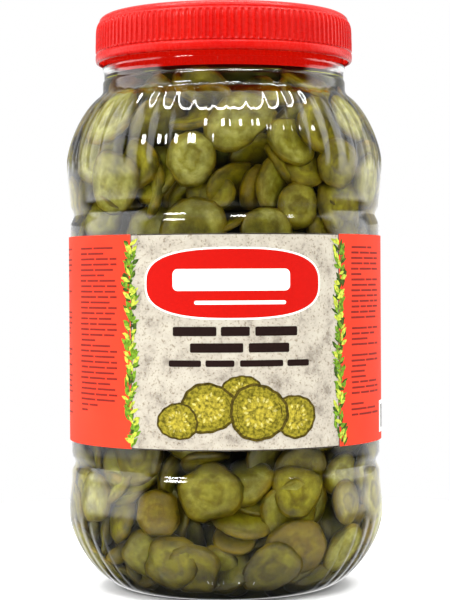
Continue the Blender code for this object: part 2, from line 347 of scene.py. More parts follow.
def jarRings():
    # (radius, height) in mm over the crests of the lobes, from the rim down
    neck = jar["neckRadius"]
    rings = [(neck - 0.8, jar["rim"]), (neck - 0.2, jar["rim"] - 0.2), (neck, jar["rim"] - 0.8)]
    rings += [(neck, h) for h in (266, 258, 253)]
    for height in np.linspace(252.4, 247.6, 7):
        rings.append((neck + 0.8 * groove(height, jar["bead"], 2.4), height))
    rings += [(neck + out, height) for out, height in (
        (0, 245.2), (0.03, 244.7), (0.13, 244.3), (0.29, 244.0), (0.48, 243.7), (0.62, 243.4),
        (0.70, 242.9), (0.70, 241.8), (0.72, 239.6), (0.96, 238.3))]
    shoulder = curvedEnd(neck, jar["bodyRadius"], jar["bulgeHigh"], jar["neckBottom"], jar["shoulderCurve"], 22)
    rings += [ring for ring in shoulder[::-1] if ring[1] < jar["neckBottom"] - 0.6]
    for height in np.arange(203.8, 168, -1.5):
        blend = smoothStep(183.5, 203, height)
        radius = jar["panelRadius"] + (jar["bodyRadius"] - jar["panelRadius"]) * blend
        radius -= jar["grooveDepth"] * groove(height, jar["grooveHigh"], 5.2)
        rings.append((radius, height))
    rings += [(jar["panelRadius"], h) for h in (160, 140, 120, 100, 80)]
    for height in np.arange(69, 36.5, -1.5):
        blend = smoothStep(54, 38, height)
        radius = jar["panelRadius"] + (jar["bodyRadius"] - 0.2 - jar["panelRadius"]) * blend
        radius -= jar["grooveDepth"] * groove(height, jar["grooveLow"], 4.6)
        rings.append((radius, height))
    base = jar["baseRadius"]
    rings += curvedEnd(base, jar["bodyRadius"] - 0.2, jar["bulgeLow"], 0.0, jar["bottomCurve"], 20)
    rings += [(base - 3.5, 0.0), (base - 5.0, 0.5), (base - 6.5, 1.6), (base - 9, 2.6),
              (30, 4.0), (14, 5.5), (1.0, 6.0)]
    return [(float(r), float(h)) for r, h in rings]


def lobeShape(angle, height):
    # how far the wall lies inside the crests, in mm, for the convex lobes of the shoulder and the bottom edge
    pitch = 2 * math.pi / jar["lobes"]
    crease = -math.pi / 2 + math.radians(jar["creaseAt"])
    across = np.abs(2 * np.mod((angle - crease) / pitch, 1.0) - 1)  # 0 on the crest, 1 in the crease
    tipHigh, tipLow = jar["upperTips"], jar["lowerTips"]
    widthHigh = np.sqrt(np.clip(1 - np.clip((tipHigh + 7 - height) / 7, 0, 1) ** 2, 0.0004, 1))
    widthLow = np.sqrt(np.clip(1 - np.clip((height - tipLow + 7) / 7, 0, 1) ** 2, 0.0004, 1))
    fadeHigh = smoothStep(tipHigh - 3, tipHigh + 9, height) * (1 - 0.6 * smoothStep(230, 238, height))
    fadeHigh = fadeHigh * (1 - smoothStep(236.5, 238.5, height))
    fadeLow = (1 - smoothStep(tipLow - 9, tipLow + 3, height)) * smoothStep(0.5, 12, height)
    high = height > 120
    width = np.where(high, widthHigh, widthLow)
    fade = np.where(high, fadeHigh, fadeLow)
    return jar["lobeDepth"] * fade * np.clip(across / width, 0, 1) ** 1.9


def shapeLobes(piece):
    points = readPoints(piece)
    radius = np.hypot(points[:, 0], points[:, 1])
    angle = np.arctan2(points[:, 1], points[:, 0])
    height = points[:, 2] / mm
    dent = lobeShape(angle, height) * (radius > 40 * mm)
    share = np.where(radius > 1e-6, (radius - dent * mm) / np.maximum(radius, 1e-6), 1.0)
    points[:, 0] *= share
    points[:, 1] *= share
    writePoints(piece, points)


def offsetRings(rings, depth):
    # the same outline, a little further in
    outline = np.array(rings)
    along = np.gradient(outline, axis=0)
    length = np.hypot(along[:, 0], along[:, 1])
    normal = np.stack([along[:, 1], -along[:, 0]], 1) / np.maximum(length, 1e-9)[:, None]
    moved = outline + normal * depth
    moved[:, 0] = np.maximum(moved[:, 0], 0.8)
    return [tuple(ring) for ring in moved]


def makeJar():
    rings = [(r * mm, h * mm) for r, h in jarRings()]
    piece = turnedShape("jarWall", rings, jar["sides"], closeBottom=True)
    shapeLobes(piece)
    # the inner skin is wet, so it hardly reflects and has a material of its own
    for name, reflects in (("clearPet", 0.9), ("clearPetWetSide", 0.12)):
        material, tree, shader = newMaterial(name, (0.985, 0.995, 0.985), 0.01, Transmission_Weight=1.0, IOR=1.55,
                                             Specular_Tint=(reflects, reflects, reflects, 1))
        addBump(tree, shader, noiseNode(tree, objectCoordinates(tree), 26, 2.0), 0.10, 0.0010)
        piece.data.materials.append(material)
    applyModifier(piece, "SOLIDIFY", thickness=jar["wall"] * mm, offset=-1, use_quality_normals=True,
                  material_offset=1)
    shadeSmooth(piece, 35)
    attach(piece, "root")
    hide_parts("jar_body")
    print("jar wall:", len(piece.data.polygons), "faces")


brine = {
    "level": 246.4,  # mm
    "intoWall": 0.5,  # share of the wall, so no air shows between them
    "absorbs": (0.86, 0.87, 0.10, 1),
    "density": 48.0,
}


def makeBrine():
    outline = offsetRings(jarRings(), brine["intoWall"] * jar["wall"])
    level = brine["level"]
    under = [ring for ring in outline if ring[1] < level - 0.2]
    surface = [(1.0, level), (20, level), (38, level), (50, level), (under[0][0], level)]
    rings = [(r * mm, h * mm) for r, h in surface + under]
    piece = turnedShape("brine", rings, jar["sides"], closeTop=True, closeBottom=True)
    shapeLobes(piece)
    shadeSmooth(piece, 40)
    material, tree, _ = newMaterial("brineLiquid", (0.99, 1.0, 0.97), 0.0, Transmission_Weight=1.0, IOR=1.34,
                                    Specular_Tint=(0.06, 0.06, 0.06, 1))
    absorb = addNode(tree, "ShaderNodeVolumeAbsorption", {"Color": brine["absorbs"], "Density": brine["density"]})
    tree.links.new(absorb.outputs["Volume"], tree.nodes["Material Output"].inputs["Volume"])
    piece.data.materials.append(material)
    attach(piece, "root")
    print("brine:", len(piece.data.polygons), "faces")


# sizes in mm
slices = {
    "count": 398,
    "radius": (9.8, 16.4),
    "thickness": (3.8, 6.2),
    "corners": 20,
    "coreRadius": 45.0,
    "coreBehindLabel": 69.0,
    "coreInNeck": (41.0, 46.0),
    "top": 245.9,
    "rounds": 200,
    "waves": ((2, 0.085), (3, 0.045), (4, 0.028), (5, 0.018), (7, 0.012)),  # of the outline: turns and size
    "endPieces": 0.14,
    "tone": (0.40, 0.28),  # middle and spread, from green to amber
}


def wallRadius(height):
    # inner wall in metres at heights in metres, inside the creases
    rings = np.array(jarRings())
    rings = rings[(rings[:, 1] < 246) & (rings[:, 0] > jar["baseRadius"] - 4)]
    order = np.argsort(rings[:, 1])
    radius = np.interp(height / mm, rings[order, 1], rings[order, 0])
    inside = height / mm
    fluted = (inside > jar["upperTips"]) * (inside < 237) + (inside < jar["lowerTips"])
    return (radius - jar["wall"] - jar["lobeDepth"] * fluted) * mm


def coreOutline(height):
    # the middle of the heap, dark with painted shade: narrow where slices show, wide behind the label
    inside = height / mm
    wide = smoothStep(66, 84, inside) * (1 - smoothStep(158, 174, inside))
    radius = slices["coreRadius"] + (slices["coreBehindLabel"] - slices["coreRadius"]) * wide
    ends = smoothStep(5, 22, inside) * (1 - smoothStep(200, 222, inside))
    return radius * np.sqrt(np.clip(ends, 0, 1)) * mm


def closePairs(points, reach):
    cell = np.floor(points / reach).astype(np.int64)
    cell -= cell.min(0)
    key = cell[:, 0] + 1000 * cell[:, 1] + 1000000 * cell[:, 2]
    order = np.argsort(key, kind="stable")
    inOrder = key[order]
    everyone = np.arange(len(points))
    firsts, seconds = [], []
    for step in [(x, y, z) for z in (-1, 0, 1) for y in (-1, 0, 1) for x in (-1, 0, 1)]:
        if step[::-1] < (0, 0, 0):
            continue
        wanted = key + step[0] + 1000 * step[1] + 1000000 * step[2]
        low = np.searchsorted(inOrder, wanted, "left")
        number = np.searchsorted(inOrder, wanted, "right") - low
        first = np.repeat(everyone, number)
        within = np.arange(number.sum()) - np.repeat(np.cumsum(number) - number, number)
        second = order[np.repeat(low, number) + within]
        if step == (0, 0, 0):
            keep = first < second
            first, second = first[keep], second[keep]
        firsts.append(first)
        seconds.append(second)
    return np.concatenate(firsts), np.concatenate(seconds)


def settleSlices():
    # each slice is a flat bunch of balls; the balls push each other, the wall and the core apart, round after round
    count = slices["count"]
    radius = rng.uniform(*slices["radius"], count) * mm
    thick = rng.uniform(*slices["thickness"], count) * mm
    height = np.where(rng.random(count) < 0.53, rng.uniform(166, 244, count), rng.uniform(8, 76, count)) * mm
    around = rng.uniform(0, 2 * math.pi, count)
    inner = np.where(height > 205 * mm, 0.12, 0.62)
    out = wallRadius(height) * np.sqrt(rng.uniform(inner ** 2, 0.9, count))
    place = np.stack([out * np.cos(around), out * np.sin(around), height], 1)
    outward = np.stack([np.cos(around), np.sin(around), rng.normal(0, 0.35, count)], 1)
    normal = 0.8 * outward + rng.normal(0, 0.8, (count, 3))
    normal /= np.linalg.norm(normal, axis=1)[:, None]
    side = np.cross(normal, rng.normal(size=(count, 3)))
    side /= np.linalg.norm(side, axis=1)[:, None]
    turned = np.stack([side, np.cross(normal, side), normal], 2)

    rings = [(0.0, 1), (0.5, 6), (1.0, 12)]
    unit = np.array([(share * math.cos(2 * math.pi * k / n), share * math.sin(2 * math.pi * k / n), 0.0)
                     for share, n in rings for k in range(n)])
    local = unit[None] * (radius - thick / 2)[:, None, None]
    ball = np.repeat(thick / 2, len(unit))
    owner = np.repeat(np.arange(count), len(unit))
    rounds = slices["rounds"]
    for turn in range(rounds):
        balls = (place[:, None] + np.einsum("nij,nkj->nki", turned, local)).reshape(-1, 3)
        moved = np.zeros_like(balls)
        first, second = closePairs(balls, 2 * ball.max())
        apart = owner[first] != owner[second]
        first, second = first[apart], second[apart]
        gap = balls[first] - balls[second]
        distance = np.maximum(np.linalg.norm(gap, axis=1), 1e-7)
        overlap = ball[first] + ball[second] - distance
        touch = overlap > 0
        first, second = first[touch], second[touch]
        push = gap[touch] / distance[touch][:, None] * (overlap[touch] * 0.5)[:, None]
        for axis in range(3):
            moved[:, axis] = (np.bincount(first, push[:, axis], len(balls))
                              - np.bincount(second, push[:, axis], len(balls)))
        hits = np.bincount(first, minlength=len(balls)) + np.bincount(second, minlength=len(balls))
        balls += moved / np.maximum(hits, 1)[:, None] * 1.3
        if turn < rounds * 0.6:  # the heap sinks and spreads to the wall
            far = np.hypot(balls[:, 0], balls[:, 1])[:, None]
            balls[:, :2] += balls[:, :2] / np.maximum(far, 0.01) * 0.00012
            balls[:, 2] -= 0.00005
        balls[:, 2] = np.clip(balls[:, 2], 7 * mm + ball, slices["top"] * mm - ball)
        far = np.maximum(np.hypot(balls[:, 0], balls[:, 1]), 1e-6)
        most = wallRadius(balls[:, 2]) - ball - 0.3 * mm
        least = coreOutline(balls[:, 2]) + ball * (coreOutline(balls[:, 2]) > 0.005)
        wanted = np.minimum(np.maximum(far, least), most)
        balls[:, :2] *= (wanted / far)[:, None]
        bunch = balls.reshape(count, len(unit), 3)
        place = bunch.mean(1)
        spread = np.einsum("nki,nkj->nij", bunch - place[:, None], local)
        u, _, v = np.linalg.svd(spread + turned[:, :, 2][:, :, None] * np.array([0, 0, 1e-9]))
        flip = np.ones((count, 3))
        flip[:, 2] = np.sign(np.linalg.det(u @ v))
        turned = (u * flip[:, None, :]) @ v
    left = round(float(np.mean(overlap[touch])) / mm, 2)
    print("slices settled, overlap left:", left, "mm on", int(touch.sum()), "touches")
    return place, turned, radius, thick


def modelSlice():
    # one slice of radius 1 and thickness 1 with a rounded rim, in few faces
    rings = [(0.58, 0.50), (0.90, 0.40), (1.0, 0.0), (0.90, -0.40), (0.58, -0.50)]
    piece = turnedShape("slice", rings, slices["corners"], closeTop=True, closeBottom=True)
    applyModifier(piece, "TRIANGULATE")
    points = readPoints(piece)
    faces = np.array([tuple(face.vertices) for face in piece.data.polygons])
    bpy.data.objects.remove(piece)
    return points, faces


def sliceMaterial():
    # cut is the place on the slice, skin is 1 on its peel, and depth is painted shade: how far in the heap it lies,
    # plus shade by the label's edges and the base
    material, tree, shader = newMaterial("pickleFlesh", (0.42, 0.40, 0.12), 0.30)
    cut = attributeNode(tree, "cut", "Vector")
    tone, skin, depth = (attributeNode(tree, name) for name in ("tone", "skin", "depth"))
    place = objectCoordinates(tree)
    parts = addNode(tree, "ShaderNodeSeparateXYZ", {"Vector": cut}).outputs
    flat = addNode(tree, "ShaderNodeCombineXYZ", {"X": parts["X"], "Y": parts["Y"]}).outputs["Vector"]
    far = addNode(tree, "ShaderNodeVectorMath", {0: flat}, operation="LENGTH").outputs["Value"]
    far = mathsNode(tree, "MULTIPLY_ADD", noiseNode(tree, cut, 2.2, 3.0), 0.75, far)
    far = mathsNode(tree, "MULTIPLY", far, 0.6)
    # ramps over the distance from the middle: seeds, flesh, rim
    green = rampNode(tree, far, [
        (0.20, (0.86, 0.83, 0.30)), (0.34, (0.80, 0.75, 0.19)), (0.44, (0.62, 0.55, 0.06)),
        (0.54, (0.86, 0.82, 0.26)), (0.68, (0.78, 0.73, 0.15)), (0.82, (0.36, 0.30, 0.015))])
    olive = rampNode(tree, far, [
        (0.20, (0.72, 0.64, 0.050)), (0.34, (0.62, 0.53, 0.022)), (0.44, (0.42, 0.33, 0.008)),
        (0.54, (0.70, 0.62, 0.040)), (0.68, (0.54, 0.46, 0.014)), (0.82, (0.20, 0.15, 0.004))])
    amber = rampNode(tree, far, [
        (0.20, (0.52, 0.36, 0.016)), (0.34, (0.45, 0.29, 0.010)), (0.44, (0.34, 0.19, 0.005)),
        (0.55, (0.46, 0.30, 0.010)), (0.74, (0.36, 0.21, 0.006)), (0.86, (0.16, 0.085, 0.003))])
    colour = mixColour(tree, rampNode(tree, tone, [(0.25, (0, 0, 0)), (0.5, (1, 1, 1))]), green, olive)
    colour = mixColour(tree, rampNode(tree, tone, [(0.65, (0, 0, 0)), (0.95, (0.8, 0.8, 0.8))]), colour, amber)
    seeds = addNode(tree, "ShaderNodeTexVoronoi", {"Vector": cut, "Scale": 6.5, "Randomness": 0.9})
    seedShape = rampNode(tree, seeds.outputs["Distance"], [(0.12, (1, 1, 1)), (0.26, (0, 0, 0))])
    zone = rampNode(tree, far, [(0.24, (0, 0, 0)), (0.30, (1, 1, 1)), (0.42, (1, 1, 1)), (0.50, (0, 0, 0))])
    seedMask = mathsNode(tree, "MULTIPLY", mathsNode(tree, "MULTIPLY", seedShape, zone), 0.45)
    colour = mixColour(tree, seedMask, colour, (0.50, 0.45, 0.16))
    # blotches that ignore the slice's own pattern
    blotch = rampNode(tree, noiseNode(tree, place, 95, 4.0), [(0.34, (0.43, 0.38, 0.07)), (0.54, (1, 1, 1))])
    colour = mixColour(tree, 0.8, colour, blotch, "MULTIPLY")
    mottled = rampNode(tree, noiseNode(tree, place, 320, 5.0), [(0.36, (0.64, 0.60, 0.17)), (0.60, (1, 1, 1))])
    colour = mixColour(tree, 0.75, colour, mottled, "MULTIPLY")
    peel = noiseNode(tree, place, 130, 3.0)
    peelColour = rampNode(tree, peel, [
        (0.34, (0.12, 0.10, 0.004)), (0.50, (0.34, 0.24, 0.008)), (0.66, (0.56, 0.38, 0.016))])
    colour = mixColour(tree, skin, colour, peelColour)
    # painted shade: deeper in the heap everything is darker
    depth = mathsNode(tree, "MULTIPLY_ADD", noiseNode(tree, place, 42, 2.0), 0.7, depth)
    dim = rampNode(tree, depth, [(0.36, (1, 1, 1)), (0.56, (0.58, 0.55, 0.16)), (0.90, (0.18, 0.16, 0.02))])
    colour = mixColour(tree, 1.0, colour, dim, "MULTIPLY")
    tree.links.new(colour, shader.inputs["Base Color"])
    shader.inputs["Subsurface Weight"].default_value = 0.35
    shader.inputs["Subsurface Radius"].default_value = (0.0035, 0.003, 0.0008)
    shader.inputs["Subsurface Scale"].default_value = 1.0
    addBump(tree, shader, noiseNode(tree, place, 500, 4.0), 0.35, 0.0006)
    return material


def makeSlices():
    place, turned, radius, thick = settleSlices()
    base, faces = modelSlice()
    material = sliceMaterial()
    angle = np.arctan2(base[:, 1], base[:, 0])
    share = np.hypot(base[:, 0], base[:, 1])
    isSkin = np.interp(share, [0.6, 0.90, 1.0], [0.0, 0.35, 1.0])
    order = np.argsort(radius)
    third, twoThirds = len(order) // 3, 2 * len(order) // 3
    kinds = {"slicesSmall": order[:third], "slicesMiddle": order[third:twoThirds], "slicesLarge": order[twoThirds:]}
    for name, members in kinds.items():
        allPoints, allCut, allTone, allDepth = [], [], [], []
        for number in members:
            wave = 1 + sum(rng.normal(0, size) * np.cos(turns * angle + rng.uniform(0, 6.3))
                           for turns, size in slices["waves"])
            wave = 1 + (wave - 1) * share
            points = base.copy()
            points[:, :2] *= (wave * radius[number])[:, None]
            bend = rng.normal(0, 0.10, 3)
            lift = bend[0] * (base[:, 0] ** 2 - 0.5) + bend[1] * base[:, 1] ** 2 + bend[2] * base[:, 0] * base[:, 1]
            swell = 1 + rng.normal(0, 0.14) * base[:, 0] + rng.uniform(-0.22, 0.12) * (1 - share)
            if rng.random() < slices["endPieces"]:  # domed on one side
                swell = swell + 0.9 * (1 - share ** 2) * (base[:, 2] > 0)
            points[:, 2] *= thick[number] * swell
            points[:, 2] += lift * radius[number]
            points = points @ turned[number].T + place[number]
            far = np.hypot(points[:, 0], points[:, 1])
            most = wallRadius(points[:, 2]) - 0.15 * mm
            points[:, :2] *= np.minimum(1, most / np.maximum(far, 1e-6))[:, None]
            points[:, 2] = np.clip(points[:, 2], 6.3 * mm, (brine["level"] - 0.4) * mm)
            allPoints.append(points)
            # painted shade: darker next to the label's two edges, at the base and further in
            high = points[:, 2] / mm
            shade = 0.45 * np.exp(-((high - 71) / 7) ** 2) + 0.2 * np.exp(-((high - 170) / 6) ** 2)
            shade += 0.4 * (1 - smoothStep(4, 24, high))
            inwards = (wallRadius(points[:, 2]) - np.hypot(points[:, 0], points[:, 1])) / (22 * mm)
            allDepth.append(np.clip(inwards + shade, 0, 1))
            allCut.append(np.column_stack([base[:, 0], base[:, 1], rng.uniform(0, 50) + base[:, 2] * 3]))
            allTone.append(np.full(len(base), np.clip(rng.normal(*slices["tone"]), 0, 1)))
        mesh = bpy.data.meshes.new(name)
        count = len(members)
        vertices = np.concatenate(allPoints)
        corners = (faces[None] + (np.arange(count) * len(base))[:, None, None]).reshape(-1, 3)
        mesh.from_pydata(vertices.tolist(), [], corners.tolist())
        mesh.attributes.new("cut", "FLOAT_VECTOR", "POINT").data.foreach_set("vector", np.concatenate(allCut).ravel())
        mesh.attributes.new("tone", "FLOAT", "POINT").data.foreach_set("value", np.concatenate(allTone))
        # the depth attribute carries the painted shade
        mesh.attributes.new("depth", "FLOAT", "POINT").data.foreach_set("value", np.concatenate(allDepth))
        mesh.attributes.new("skin", "FLOAT", "POINT").data.foreach_set("value", np.tile(isSkin, count))
        piece = bpy.data.objects.new(name, mesh)
        bpy.context.scene.collection.objects.link(piece)
        piece.data.materials.append(material)
        shadeSmooth(piece)
        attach(piece, "root")
        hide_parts("pickles")
        print(name, count, "slices,", len(corners), "triangles")


def makeCore():
    heights = np.concatenate([np.linspace(246.1, 242, 10), np.linspace(240, 9, 80)])
    narrow, wide = slices["coreInNeck"]
    inNeck = (narrow + (wide - narrow) * smoothStep(232, 243, heights)) * (heights > 200)
    inNeck *= np.sqrt(1 - smoothStep(244.2, 246.2, heights))
    outline = np.maximum(coreOutline(heights * mm) / mm - 1.0, np.maximum(inNeck, 1.0))
    rings = [(float(radius) * mm, float(height) * mm) for radius, height in zip(outline, heights)]
    piece = turnedShape("heapCore", rings, 96, closeTop=True, closeBottom=True)
    points = readPoints(piece)
    angle = np.arctan2(points[:, 1], points[:, 0])
    height = points[:, 2] / mm
    lump = np.sin(7 * angle + height * 0.11) * np.sin(height * 0.31 + 2 * np.cos(3 * angle))
    lump += 0.6 * np.sin(13 * angle - height * 0.23)
    share = 1 + 0.022 * lump * (np.hypot(points[:, 0], points[:, 1]) > 15 * mm)
    points[:, :2] *= share[:, None]
    writePoints(piece, points)
    shadeSmooth(piece)
    # the core's dark mottled colour is painted shade, for the shadowed slices deep in the heap
    material, tree, shader = newMaterial("heapShade", (0.06, 0.06, 0.01), 0.5)
    patches = rampNode(tree, noiseNode(tree, objectCoordinates(tree), 75, 4.0), [
        (0.35, (0.030, 0.026, 0.003)), (0.55, (0.09, 0.078, 0.008)), (0.75, (0.17, 0.14, 0.015))])
    tree.links.new(patches, shader.inputs["Base Color"])
    piece.data.materials.append(material)
    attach(piece, "root")
    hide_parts("pickles")
    print("core of the heap")


# heights and sizes in mm
lid = {
    "bottom": 252.7,
    "top": 276.0,
    "ribs": 120,
    "ribTop": 271.9,
    "ribBottom": 257.9,
    "ribHeight": 0.85,
    "wall": 1.3,
    "sides": 960,
}


def makeLid():
    top, bottom = lid["top"], lid["bottom"]
    rings = [(1.0, top - 0.5), (30, top - 0.5), (50, top - 0.5), (51.8, top - 0.5), (52.4, top - 0.35),
             (53.0, top - 0.08), (53.6, top), (55.2, top), (56.4, top - 0.12), (57.6, top - 0.45), (58.8, top - 1.05),
             (59.6, top - 1.7), (60.1, top - 2.3), (60.3, top - 2.9), (60.2, top - 3.2), (60.3, top - 3.5)]
    rings += [(60.9, 271.9), (61.25, 271.3), (61.6, 270.4), (61.9, 269.0), (62.05, 267), (62.1, 264),
              (62.2, 261), (62.2, 259.2), (62.2, 258.3), (62.1, 257.9)]
    rings += [(61.6, 257.6), (61.5, 257.3), (61.9, 256.9), (62.15, 256.5), (62.2, 256), (62.2, 254.6), (62.1, 253.6),
              (61.8, 253.0), (61.3, bottom), (60.7, bottom)]
    piece = turnedShape("lidCap", [(r * mm, h * mm) for r, h in rings], lid["sides"], closeTop=True)
    points = readPoints(piece)
    height = points[:, 2] / mm
    far = np.hypot(points[:, 0], points[:, 1]) / mm
    angle = np.arctan2(points[:, 1], points[:, 0])
    across = np.abs(2 * np.mod(angle / (2 * math.pi / lid["ribs"]) + 0.25, 1.0) - 1)  # 0 in the middle of a rib
    ridge = smoothStep(0.60, 0.36, across)
    band = smoothStep(lid["ribBottom"] - 0.2, lid["ribBottom"] + 0.2, height)
    band *= smoothStep(lid["ribTop"] + 0.3, lid["ribTop"] - 0.9, height)
    inward = lid["ribHeight"] * (1 - ridge) * band * (far > 58)
    points[:, :2] *= ((far - inward) / np.maximum(far, 1e-6))[:, None]
    writePoints(piece, points)
    # the inner skin has a painted glow: a little red emission stands for daylight coming through the thin plastic
    for name, glow in (("redPlastic", 0.0), ("redPlasticInside", 0.5)):
        material, tree, shader = newMaterial(
            name, (0.41, 0.003, 0.001), 0.28, Specular_IOR_Level=0.16, Subsurface_Weight=0.10,
            Subsurface_Scale=0.003, Emission_Color=(1, 0.010, 0.003, 1), Emission_Strength=glow)
        shader.inputs["Subsurface Radius"].default_value = (1.0, 0.10, 0.06)
        place = objectCoordinates(tree)
        for socket, scale, low, high in (("Base Color", 45, (0.39, 0.002, 0.001), (0.43, 0.004, 0.001)),
                                         ("Roughness", 420, (0.22, 0.22, 0.22), (0.34, 0.34, 0.34))):
            uneven = rampNode(tree, noiseNode(tree, place, scale, 3.0), [(0.3, low), (0.7, high)])
            tree.links.new(uneven, shader.inputs[socket])
        addBump(tree, shader, noiseNode(tree, place, 900, 3.0), 0.12, 0.0003)
        piece.data.materials.append(material)
    applyModifier(piece, "SOLIDIFY", thickness=lid["wall"] * mm, offset=-1, material_offset=1)
    shadeSmooth(piece, 40)
    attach(piece, "root")
    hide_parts("lid")
    print("lid:", len(piece.data.polygons), "faces")


# sizes in mm, along the wrap from the middle of the front panel and up from the floor
label = {
    "radius": 75.45,
    "thickness": 0.2,
    "bottom": 71.4,
    "top": 168.9,
    "sides": 360,
    "turn": 4.6,  # degrees that the front panel is turned to the right
    "panelHalf": 51.5,
    "plaque": {"middle": (-2.0, 146.5), "size": (82.0, 31.0), "edge": 0.8, "roundness": 2.7},
    "plaqueBars": [(-3, 148.1, 54, 9.8), (1, 137.9, 42, 1.7)],  # (x, y, width, height)
    "bars": [(-20, 125.0, 20, 4.2), (-1.5, 125.0, 13, 4.2), (17.5, 125.0, 20, 4.2),
             (-10, 117.6, 24, 4.2), (14, 117.6, 19, 4.2),
             (-24.5, 110.6, 15, 2.9), (-8.5, 110.6, 13, 2.9), (10.5, 110.6, 20, 2.9), (28, 110.6, 11, 2.9)],
    "slices": [(1, 97, 9.5), (-14, 90.5, 13.0), (-28, 84.5, 9.5), (26, 86.5, 11.0), (9, 88.5, 14.0)],
    "seeds": 14,
    "sprigStems": 40,
    "sprigLeaves": 150,
    "rows": {"pitch": 2.5, "height": 0.95, "columns": [(-90, -60), (60, 90), (-146, -104), (-206, -158)]},
    "box": {"middle": (103, 82.5), "size": (18, 15), "stripes": 10, "pitch": 1.45, "stripe": (0.6, 11.5)},
    "table": {"left": 146, "right": 196, "bottom": 92, "top": 152, "lines": 9},  # round at the back
    "lap": 7.5,
}


def wrapRound(piece, lift):
    # bends a flat print, x along the wrap and y upwards in mm, round the label
    points = readPoints(piece)
    radius = label["radius"] + label["thickness"] + lift
    turned = math.radians(label["turn"]) + points[:, 0] / radius
    depth = radius + points[:, 2]
    around = np.stack([depth * np.sin(turned), -depth * np.cos(turned), points[:, 1]], 1) * mm
    writePoints(piece, around)


def finishPrint(piece, lift, material):
    wrapRound(piece, lift)
    applyModifier(piece, "SOLIDIFY", thickness=0.03 * mm, offset=-1)
    piece.data.materials.append(material)
    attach(piece, "root")


def stampShapes(name, shape, stamps):
    # copies of one flat shape: (x, y, width, height, turn in degrees)
    points = readPoints(shape)
    faces = [tuple(face.vertices) for face in shape.data.polygons]
    bpy.data.objects.remove(shape)
    allPoints, allFaces = [], []
    for x, y, width, height, turn in stamps:
        cosine, sine = math.cos(math.radians(turn)), math.sin(math.radians(turn))
        flat = points[:, :2] * (width, height)
        placed = np.zeros_like(points)
        placed[:, 0] = x + flat[:, 0] * cosine - flat[:, 1] * sine
        placed[:, 1] = y + flat[:, 0] * sine + flat[:, 1] * cosine
        start = len(allPoints) * len(points)
        allFaces += [tuple(start + corner for corner in face) for face in faces]
        allPoints.append(placed)
    mesh = bpy.data.meshes.new(name)
    mesh.from_pydata(np.concatenate(allPoints).tolist(), [], allFaces)
    piece = bpy.data.objects.new(name, mesh)
    bpy.context.scene.collection.objects.link(piece)
    return piece


def printShapes(name, shape, stamps, lift, material):
    finishPrint(stampShapes(name, shape, stamps), lift, material)


def flatBar(columns):
    deselectAll()
    bpy.ops.mesh.primitive_grid_add(x_subdivisions=columns, y_subdivisions=1, size=1)
    return bpy.context.object


def flatDisc(corners, rings=4):
    deselectAll()
    bpy.ops.mesh.primitive_circle_add(vertices=corners, radius=0.5, fill_type="NGON")
    piece = bpy.context.object
    bpy.ops.object.mode_set(mode="EDIT")
    bpy.ops.mesh.select_mode(type="FACE")
    bpy.ops.mesh.select_all(action="SELECT")
    for ring in range(rings):
        bpy.ops.mesh.inset(thickness=0.5 / (rings + 1))
    bpy.ops.mesh.poke()
    bpy.ops.object.mode_set(mode="OBJECT")
    return piece


def roundedBars(name, bars, corner):
    # bars with round corners, in columns fine enough to follow the wrap
    stamps = []
    for x, y, width, height in bars:
        deselectAll()
        bpy.ops.mesh.primitive_grid_add(x_subdivisions=max(10, int(width)), y_subdivisions=2, size=1)
        piece = bpy.context.object
        points = readPoints(piece)
        along = 0.5 * np.sin(math.pi * points[:, 0])  # closer columns at the ends
        radius = min(corner, height / 2)
        over = np.clip(np.abs(along) * width - (width / 2 - radius), 0, radius)
        half = height / 2 - radius + np.sqrt(radius ** 2 - over ** 2)
        points[:, 0] = x + along * width
        points[:, 1] = y + 2 * points[:, 1] * np.maximum(half, 0.05)
        writePoints(piece, points)
        stamps.append(piece)
    deselectAll()
    for piece in stamps:
        piece.select_set(True)
    bpy.context.view_layer.objects.active = stamps[0]
    bpy.ops.object.join()
    stamps[0].name = name
    return stamps[0]


def roundedBar(corners, rings, roundness):
    piece = flatDisc(corners, rings)
    points = readPoints(piece)
    angle = np.arctan2(points[:, 1], points[:, 0])
    boxy = (np.abs(np.cos(angle)) ** roundness + np.abs(np.sin(angle)) ** roundness) ** (-1 / roundness)
    points[:, :2] *= boxy[:, None]
    writePoints(piece, points)
    return piece


def flatLeaf():
    piece = flatDisc(10, 0)
    points = readPoints(piece)
    points[:, 1] *= 0.35 + 0.65 * (1 - np.abs(2 * points[:, 0]) ** 1.5)
    points[:, 1] *= 1.2
    writePoints(piece, points)
    return piece


def printMaterial(name, colour, roughness=0.6, spread=0.10):
    material, tree, shader = newMaterial(name, colour, roughness, Specular_IOR_Level=0.06)
    speck = noiseNode(tree, objectCoordinates(tree), 700, 4.0)
    darker = tuple(part * (1 - spread) for part in colour)
    lighter = tuple(min(1.0, part * (1 + spread)) for part in colour)
    tree.links.new(rampNode(tree, speck, [(0.35, darker), (0.65, lighter)]), shader.inputs["Base Color"])
    addBump(tree, shader, speck, 0.08, 0.0002)
    return material


